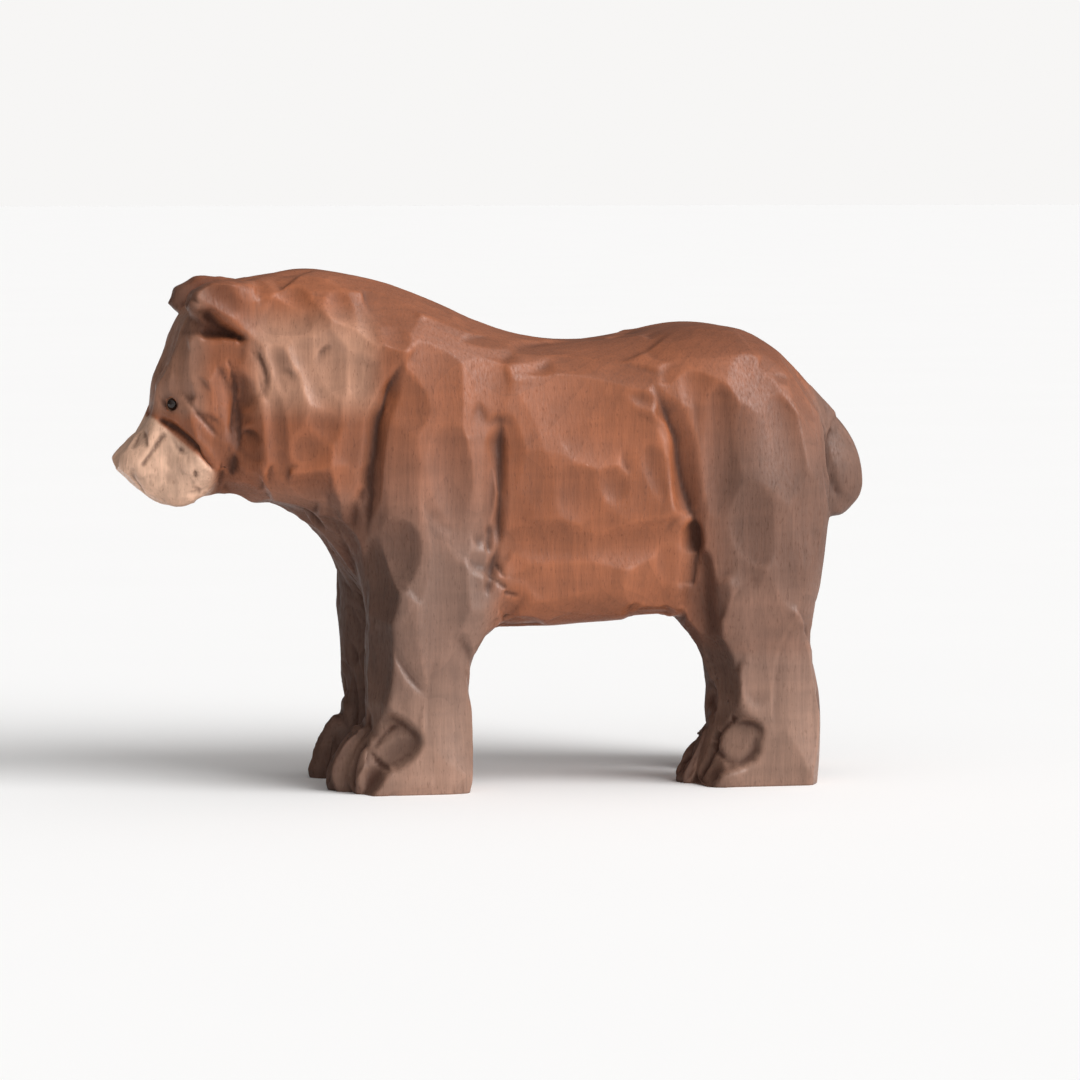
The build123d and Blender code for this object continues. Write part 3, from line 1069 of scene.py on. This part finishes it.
@dataclass
class Legs:
    """Four legs with long upright facets, and their paws."""

    facet: float = 0.14
    front_rim: tuple[tuple[float, float], ...] = (
        (-22.6, 0.3), (-21.0, 2.3), (-20.2, 4.1), (-17.5, 4.8), (-15.9, 6.0),
        (-14.6, 7.9), (-14.8, 9.5), (-17.0, 11.6), (-19.8, 13.2), (-21.6, 15.0),
    )
    hind_rim: tuple[tuple[float, float], ...] = (
        (30.9, 0.3), (32.6, 2.0), (34.2, 2.7), (36.6, 3.2), (38.7, 4.1),
        (39.8, 6.1), (39.7, 8.0), (39.0, 9.6), (36.9, 11.6), (34.4, 14.0),
    )

    def carve(self, bench: Bench) -> None:
        """Long strokes up and down every leg.

        Args:
            bench: the wood on the bench.
        """
        x, z = bench.points[:, 0], bench.points[:, 2]
        level = np.abs(bench.normals[:, 2]) < 0.5
        legs = level & (z > 3.0) & (z < 40) & ((x < -3) | (x > 27))
        bench.cover(legs, 5.4, (9.5, 2.7), self.facet, np.array([0.0, 0.0, 1.0]), 0.015, 0.06)

    def near(self, bench: Bench, side: Side) -> None:
        """The broad planes on the outside of a front and a hind leg.

        Args:
            bench: the wood on the bench.
            side: which side of the bear.
        """
        hand = side.value
        step = 0.0 if side is Side.LEFT else 4.0
        # The seventh number is painted shade; the first cut's facet, facing down and forward, gets it.
        cuts = [
            HandCut(-18.2, 38.6, 5.4, 3.4, 0.35, (-0.05, 0.08), 0.6, 0.55),
            HandCut(-11.0, 28.0, 12.0, 3.6, 0.0, (0.0, -0.02), 0.0, 0.15),
            HandCut(-9.0, 12.0, 10.0, 3.6, 0.0, (0.0, -0.02), 0.0, 0.12),
            HandCut(40.0 + step, 24.0, 9.0, 3.4, -0.1, (0.0, 0.0), 0.0, 0.15),
            HandCut(45.6 + step, 13.0, 10.0, 3.2, 0.0, (0.0, -0.03), 0.0, 0.15),
        ]
        bench.hand_cuts(cuts, side)
        # These corner cuts on the legs' fronts get painted shade.
        corners = (
            (-23.0, 18.4, 31.0, 7.0, 3.3),
            (-23.0, 18.0, 20.0, 8.0, 3.1),
            (30.4 + step, 19.0, 28.0, 7.0, 2.7),
            (32.6 + step, 17.6, 17.0, 8.0, 2.8),
        )
        for px, py, pz, long, wide in corners:
            spot = bench.corner((px, py * hand, pz))
            bench.cut(Stroke(spot, np.array([0.0, 0.0, -1.0]), long, wide, 0.3, (0.0, 0.0), 0.5, 0.5))
        bench.refresh()
        self.paw(bench, side, self.front_rim, 0.0)
        self.paw(bench, side, self.hind_rim, 1.5 * step)

    @staticmethod
    def paw(bench: Bench, side: Side, rim: tuple[tuple[float, float], ...], shift: float) -> None:
        """Set the paw back behind a stepped rim, and scoop its two outer toes.

        Args:
            bench: the wood.
            side: which side's paw.
            rim: the step's outline in the side view, upwards from the sole.
            shift: how much further back than the rim this paw lies.
        """
        x, y, z = bench.points.T
        outline = np.array(rim)
        top = outline[-1, 1]
        back = outline[:, 0].max() + shift
        ahead_of_rim = x < np.interp(z, outline[:, 1], outline[:, 0]) + shift
        inside = ahead_of_rim & (x > back - 14.0) & (z < top)
        inside = bench.average(inside.astype(float), 2)
        inside *= between(y * side.value, 10.0, 16.0) * between(z, top, top - 4.5)
        bench.points[:, 1] -= side.value * inside * np.clip(1.0 + 0.22 * (back - x), 0.0, 2.8)
        # Painted shade in the set-back paw.
        bench.shade = np.maximum(bench.shade, 0.6 * inside)
        bench.refresh()
        # The toes' last numbers are painted shade in their scoops.
        toes = ((4.1, 7.0, 1.05, 3.7, 2.2, 0.2), (7.3, 3.1, 0.5, 2.8, 1.6, 0.28))
        for ahead, up, turn, long, wide, shade in toes:
            along = np.array([math.sin(turn), 0.0, math.cos(turn)])
            spot = bench.seen(back - ahead, up, side)
            bench.cut(Stroke(spot, along, long, wide, 0.3, (0.0, 0.0), 0.1, shade))
        bench.refresh()
        clefts = (((-7.4, 6.9), (-5.4, 9.4), (-3.2, 11.0)), ((-7.5, 6.8), (-6.4, 5.0), (-5.0, 4.2)))
        for places in clefts:
            path = bench.line([(back + along, up) for along, up in places], side, 0.4)
            bench.v_cut(path, 0.5, (0.6, 0.6), 0.2)

    def toes(self, bench: Bench) -> None:
        """Deepen the clefts between the toes of each paw.

        Args:
            bench: the wood on the bench.
        """
        for side in Side:
            for front in (-25.0, 30.0 if side is Side.LEFT else 37.4):
                for cleft in (9.4, 14.4):
                    path = []
                    for height in np.linspace(9.0, 0.6, 10):
                        path.append(self.front_point(bench, front, cleft * side.value, height))
                    bench.v_cut(path, 1.0, (1.1, 1.1), 0.12)
        bench.refresh()

    @staticmethod
    def front_point(bench: Bench, front: float, y: float, z: float) -> np.ndarray:
        """The foremost point of a leg at (y, z).

        Args:
            bench: the wood on the bench.
            front: where the front of the paw lies, in millimetres.
            y: distance across the bear, in millimetres.
            z: height, in millimetres.

        Returns:
            the point, in millimetres.
        """
        x = bench.points[:, 0]
        away = np.hypot(bench.points[:, 1] - y, bench.points[:, 2] - z)
        away += 9.0 * (np.abs(x - front - 3.0) > 7.0)
        near = np.flatnonzero(away < max(0.5, away.min() + 0.1))
        return bench.points[near[np.argmin(x[near])]].copy()


@dataclass
class Tail:
    """The broad stub of a tail."""

    def shape(self, bench: Bench) -> None:
        """Leave wood standing for the tail's square end and the backs of the thighs.

        Args:
            bench: the wood on the bench.
        """
        bench.swell((59.6, 0.0, 50.0), (6.0, 10.0, 12.0), 0.9)
        bench.swell((58.0, 0.0, 42.6), (4.0, 9.0, 4.0), 1.1)
        for side in Side:
            bench.swell((51.0, 14.0 * side.value, 37.0), (5.0, 10.0, 13.0), 0.9)

    def carve(self, bench: Bench) -> None:
        """Flats along the tail and the line where it leaves the rump.

        Args:
            bench: the wood on the bench.
        """
        x, y, z = bench.points.T
        tail = (x > 51) & (np.abs(y) < 7.5) & (z > 47)
        bench.cover(tail, 4.6, (5.4, 2.8), 0.10, np.array([0.3, 0.0, -1.0]), 0.02, 0.05)
        bench.refresh()
        for side in Side:
            edge = [(46.6, 67.4), (49.0, 62.6), (51.0, 57.4), (52.4, 52.0), (52.8, 47.0), (53.0, 43.0)]
            path = [(along, 7.2 * side.value, up) for along, up in edge]
            bench.v_cut([bench.corner(spot) for spot in path], 0.8, (1.3, 1.3), 0.15)
        bench.refresh()

    @staticmethod
    def clean(bench: Bench) -> None:
        """Scrape the tail's end and the wood below it smooth.

        Args:
            bench: the wood on the bench.
        """
        x, y, z = bench.points.T
        below = fade((np.abs(y), 12.0, 8.0), (x, 45.0, 48.0), (z, 46.0, 43.0), (z, 24.0, 27.0))
        bench.soften(24, below)


class Marks:
    """What the finish reads off the carved wood: stain, bare wood, darker colour with painted shade, painted
    shade in hollows, arrises, tones and painted highlights.
    """

    def __init__(self, bench: Bench) -> None:
        """Note the wood and where its parts lie.

        Args:
            bench: the wood on the bench.
        """
        self.bench = bench
        self.x, self.y, self.z = bench.points.T
        self.across = np.abs(self.y)
        self.brow = fade((self.x, -45.0, -49.0), (self.z, 58.0, 60.0)) * 0.55

    def relief(self, rounds: int) -> np.ndarray:
        """How far the wood stands above its own average over some rounds."""
        level = self.bench.average(self.bench.points, rounds)
        return np.einsum("ij,ij->i", self.bench.points - level, self.bench.normals)

    def stain(self) -> np.ndarray:
        """Where the grey stain lies: legs, haunches, tail, throat and brow.

        Returns:
            a share for each vertex.
        """
        x, z = self.x, self.z
        front = fade((x, -27.0, -21.0), (x, 1.0, -6.0), (z, 64.0, 32.0))
        hind = fade((x, 25.0, 36.0), (z, 68.0, 46.0))
        tail = between(x, 49.0, 53.0) * 0.9
        throat = fade((x, -17.0, -23.0), (z, 50.0, 44.0), (x, -46.0, -44.0)) * 0.6
        feet = between(z, 26.0, 20.0)
        return np.maximum.reduce([front, hind * 0.85, tail, feet, throat, self.brow])

    def bare(self) -> np.ndarray:
        """Where the wood shows pale: muzzle, mane and feet.

        Returns:
            a share for each vertex.
        """
        x, z = self.x, self.z
        muzzle = between(x, -44.0, -47.0) * between(z - 0.92 * (-44.8 - x), 50.0, 49.0)
        mane = 0.42 * between(x, -42.0, -37.0) * between(x, -19.0, -24.0)
        mane = mane * between(z, 57.0, 63.0) * between(z, 77.0, 70.0)
        feet = 0.12 * between(z, 22.0, 8.0) * (self.across > 12.0)
        return np.maximum.reduce([muzzle, mane, feet, 0.2 * self.brow])

    def ears(self) -> np.ndarray:
        """The ears' darker stain, with painted shade on their fronts and inner sides.

        Returns:
            a share for each vertex.
        """
        inward = between(self.bench.level[:, 1] * np.sign(self.y), -0.2, -0.6)
        flat = fade((self.z, 73.6, 75.0), (self.x, -39.4, -41.0)) * (self.across > 5.5) * 0.48
        ahead = between(self.bench.level[:, 0], 0.0, -0.6)
        return np.maximum(flat, flat * 2.0 * np.maximum(ahead, inward))

    def dark_colour_and_painted_shade(self) -> np.ndarray:
        """How much darker each vertex is coloured: darker towards the bottom of the legs, round the eyes, on
        the ears, thighs, upward faces of the back and tail, with painted shade on the fronts and insides of
        legs, the ears' fronts and inner sides, the chest and behind the cheek.

        Returns:
            a share for each vertex.
        """
        x, z, level = self.x, self.z, self.bench.level
        places = [np.array(Eyes().place(side)[0]) for side in Side]
        eye = np.minimum(*(np.linalg.norm(self.bench.points - place, axis=1) for place in places))
        paws = fade((z, 12.0, 4.0), (x, -18.0, -22.0)) * (x < 0)
        paws = paws + fade((z, 10.0, 3.0), (x, 38.0, 33.0)) * (x > 20)
        # Painted shade: faces turned from the key, the insides of the legs, the chest under the head and the
        # step behind the cheek.
        fronts = fade((level[:, 0], -0.25, -0.75), (z, 46.0, 36.0))
        inner = fade((self.across, 8.0, 6.0), (np.abs(level[:, 1]), 0.3, 0.7), (z, 36.0, 30.0))
        chest = fade((x, -17.0, -22.0), (z, 47.0, 43.0), (z, 26.0, 32.0)) * 0.65
        cheek = fade((x, -46.0, -44.0), (x, -37.0, -39.5), (z, 60.0, 52.0)) * 0.4
        below = 0.5 * between(z, 57.0, 46.0) * between(z, 28.0, 36.0)
        thigh = fade((x, 27.0, 34.0), (z, 74.0, 68.0)) * (0.18 + below)
        top = fade((level[:, 2], 0.3, 0.8), (z, 60.0, 64.0), (x, -30.0, -14.0))
        top = top * (0.3 + 0.3 * between(x, 22.0, 34.0))
        stub = between(x, 50.0, 53.0) * 0.52
        dark_colour_and_painted_shade = np.maximum(paws * 0.6, between(eye, 2.1, 1.3))
        return np.maximum.reduce([dark_colour_and_painted_shade, fronts, inner, self.ears(), chest, cheek, thigh, top, stub])

    def store(self, mesh: bpy.types.Mesh) -> None:
        """Write every mark to the mesh as one number per vertex.

        Args:
            mesh: the mesh to write to.
        """
        bow, wide = self.relief(4), self.relief(40)
        shade = self.bench.average(self.bench.shade, 1)
        values = {
            "tone": self.bench.average(self.bench.tone, 1),
            "ridge": np.clip(bow / 0.05, 0.0, 1.0),
            # groove is painted shade in creases and hollows.
            "groove": np.clip(-bow / 0.09, 0.0, 1.0) * 0.5 + np.clip(-wide / 0.5, 0.0, 1.0) * 0.6,
            "stain": self.stain(),
            "pale": self.bare(),
            # The cuts' painted shade joins the darker colour here.
            "dark_colour_and_painted_shade": np.maximum(self.bench.average(self.dark_colour_and_painted_shade(), 3), shade),
            "painted_highlight_share": np.maximum(-shade, 0.0),
        }
        for name, numbers in values.items():
            layer = mesh.attributes.new(name, "FLOAT", "POINT")
            layer.data.foreach_set("value", numbers.astype(np.float32))


@dataclass
class CarvedBear:
    """The wooden bear: one block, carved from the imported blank."""

    fine: float = 0.4
    faces: int = 190000
    seed: int = 11

    def blank(self) -> bpy.types.Object:
        """A dense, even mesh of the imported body, with its eye holes filled.

        Returns:
            the blank.
        """
        solid = bmesh.new()
        solid.from_mesh(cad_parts["carved_body"].data)
        bmesh.ops.remove_doubles(solid, verts=solid.verts, dist=1e-6)
        Eyes().plug(solid)
        mesh = bpy.data.meshes.new("bear")
        solid.to_mesh(mesh)
        solid.free()
        bear = bpy.data.objects.new("bear", mesh)
        bpy.context.scene.collection.objects.link(bear)
        remesh = bear.modifiers.new("dense", "REMESH")
        remesh.mode = "VOXEL"
        remesh.voxel_size = self.fine * MM
        self.apply(bear)
        LOG.info("blank: %d faces", len(bear.data.polygons))
        return bear

    @staticmethod
    def apply(bear: bpy.types.Object) -> None:
        """Replace the bear's mesh by what its modifiers make of it.

        Args:
            bear: the wooden bear.
        """
        evaluated = bear.evaluated_get(bpy.context.evaluated_depsgraph_get())
        made = bpy.data.meshes.new_from_object(evaluated)
        bear.modifiers.clear()
        bear.data = made

    def carve(self, bench: Bench) -> None:
        """All the knife work, from the broad planes to the fine lines.

        Args:
            bench: the wood on the bench.
        """
        head, neck, trunk, legs, tail = Head(), Neck(), Trunk(), Legs(), Tail()
        bench.soften(8)
        bench.push(0.32 * between(bench.points[:, 2], 0.5, 2.0))
        for side in Side:
            head.shape(bench, side)
        tail.shape(bench)
        bench.refresh()
        trunk.top(bench)
        bench.refresh()
        legs.carve(bench)
        bench.soften(12, 0.9 * bench.nook)
        for side in Side:
            neck.carve(bench, side)
            trunk.sides(bench, side)
            bench.refresh()
            trunk.folds(bench, side)
            bench.refresh()
            legs.near(bench, side)
            head.carve(bench, side)
            bench.refresh()
            head.muzzle(bench, side)
            head.ear(bench, side)
            bench.refresh()
        head.bridge(bench)
        legs.toes(bench)
        tail.carve(bench)
        tail.clean(bench)
        bench.points[:, 2] = np.maximum(bench.points[:, 2], 0.0)
        bench.soften(1)

    def build(self) -> bpy.types.Object:
        """Carve and finish the bear.

        Returns:
            the finished bear.
        """
        bear = self.blank()
        bench = Bench(bear.data, np.random.default_rng(self.seed))
        self.carve(bench)
        Marks(bench).store(bear.data)
        thin = bear.modifiers.new("thin", "DECIMATE")
        thin.ratio = self.faces / (2 * len(bear.data.polygons))
        self.apply(bear)
        LOG.info("carved: %d faces", len(bear.data.polygons))
        self.drill(bear)
        bear.data.materials.clear()
        bear.data.materials.append(StainedWood().material())
        for face in bear.data.polygons:
            face.use_smooth = True
        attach(bear, "root")
        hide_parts("carved_body")
        return bear

    def drill(self, bear: bpy.types.Object) -> None:
        """Sink the eye sockets and the holes for the shanks.

        Args:
            bear: the wooden bear.
        """
        solid = bmesh.new()
        eyes = Eyes()
        for side in Side:
            bead, out = eyes.place(side)
            eyes.socket(solid, bead, out)
        mesh = bpy.data.meshes.new("drill")
        solid.to_mesh(mesh)
        solid.free()
        drill = bpy.data.objects.new("drill", mesh)
        bpy.context.scene.collection.objects.link(drill)
        cut = bear.modifiers.new("eyes", "BOOLEAN")
        cut.operation = "DIFFERENCE"
        cut.solver = "EXACT"
        cut.object = drill
        self.apply(bear)
        bpy.data.objects.remove(drill)


# ---------------------------------------------------------------------------------------------
# The studio
# ---------------------------------------------------------------------------------------------


@dataclass
class Studio:
    """Pale floor, soft light from the right and above, and the camera."""

    azimuth: float = -12.0
    elevation: float = 4.0
    distance: float = 850.0
    aim: tuple[float, float, float] = (8.2, 0.0, 38.0)
    picture_scale: float = 6.3
    picture_size: float = 1080.0
    sensor: float = 36.0
    key_strength: float = 3.0
    backdrop: float = 0.93
    room_dark: float = 0.10
    room_bright: float = 1.0

    def camera(self) -> None:
        """A long lens, a little above the ground and turned towards the bear's head."""
        across, above = math.radians(self.azimuth), math.radians(self.elevation)
        level = math.cos(above)
        back = Vector((math.sin(across) * level, -math.cos(across) * level, math.sin(above)))
        lens = bpy.data.cameras.new("camera")
        lens.sensor_width = self.sensor
        lens.lens = self.sensor * self.picture_scale * self.distance / self.picture_size
        camera = bpy.data.objects.new("camera", lens)
        camera.location = (Vector(self.aim) + back * self.distance) * MM
        camera.rotation_euler = (-back).to_track_quat("-Z", "Y").to_euler()
        bpy.context.scene.collection.objects.link(camera)
        bpy.context.scene.camera = camera

    def floor(self) -> None:
        """A broad pale floor."""
        solid = bmesh.new()
        bmesh.ops.create_grid(solid, x_segments=4, y_segments=4, size=12.0)
        mesh = bpy.data.meshes.new("floor")
        solid.to_mesh(mesh)
        solid.free()
        floor = bpy.data.objects.new("floor", mesh)
        bpy.context.scene.collection.objects.link(floor)
        paint = Painter("floor_paper")
        mottle = paint.grain((0.01, 0.01, 0.01), 2.0)
        paper = paint.mix(mottle, colour(244, 244, 244), colour(246, 246, 246))
        paint.feed(paint.shader.inputs["Base Color"], paper)
        paint.shader.inputs["Roughness"].default_value = 0.9
        paint.shader.inputs["Specular IOR Level"].default_value = 0.1
        mesh.materials.append(paint.material)

    def sun(self, name: str, toward: tuple[float, float, float], strength: float, spread: float) -> None:
        """A broad distant light that shines from the direction toward.

        Args:
            name: its name.
            toward: the direction to the light.
            strength: its strength.
            spread: how wide it looks, in degrees.
        """
        lamp = bpy.data.lights.new(name, "SUN")
        lamp.energy = strength
        lamp.angle = math.radians(spread)
        light = bpy.data.objects.new(name, lamp)
        light.rotation_euler = Vector(toward).to_track_quat("Z", "Y").to_euler()
        bpy.context.scene.collection.objects.link(light)

    def light(self) -> None:
        """The key from the right and above, and a pale room that is brighter on the key's side."""
        toward = (0.62, -0.58, 0.53)
        self.sun("key", toward, self.key_strength, 44.0)
        world = bpy.data.worlds.new("room")
        bpy.context.scene.world = world
        world.use_nodes = True
        tree = world.node_tree
        background = tree.nodes["Background"]
        background.inputs["Color"].default_value = (1.0, 0.99, 0.98, 1.0)
        place = tree.nodes.new("ShaderNodeTexCoord")
        facing = tree.nodes.new("ShaderNodeVectorMath")
        facing.operation = "DOT_PRODUCT"
        facing.inputs[1].default_value = toward
        glow = tree.nodes.new("ShaderNodeMapRange")
        glow.inputs["From Min"].default_value = -0.3
        glow.inputs["To Min"].default_value = self.room_dark
        glow.inputs["To Max"].default_value = self.room_bright
        path = tree.nodes.new("ShaderNodeLightPath")
        level = tree.nodes.new("ShaderNodeMix")
        level.inputs[3].default_value = self.backdrop
        tree.links.new(place.outputs["Generated"], facing.inputs[0])
        tree.links.new(facing.outputs["Value"], glow.inputs["Value"])
        tree.links.new(path.outputs["Is Camera Ray"], level.inputs[0])
        tree.links.new(glow.outputs[0], level.inputs[2])
        tree.links.new(level.outputs[0], background.inputs["Strength"])
        bpy.context.scene.view_settings.view_transform = "Standard"


def main() -> None:
    """Set the studio, carve the bear, fit its eyes and log its face count."""
    logging.basicConfig(level=logging.INFO, format="%(message)s")
    studio = Studio()
    studio.camera()
    studio.floor()
    studio.light()
    bear = CarvedBear().build()
    LOG.info("%s: %d faces", bear.name, len(bear.data.polygons))
    Eyes().dress()
    LOG.info("eyes: two beads, each on a pin")


if __name__ == "__main__":
    main()
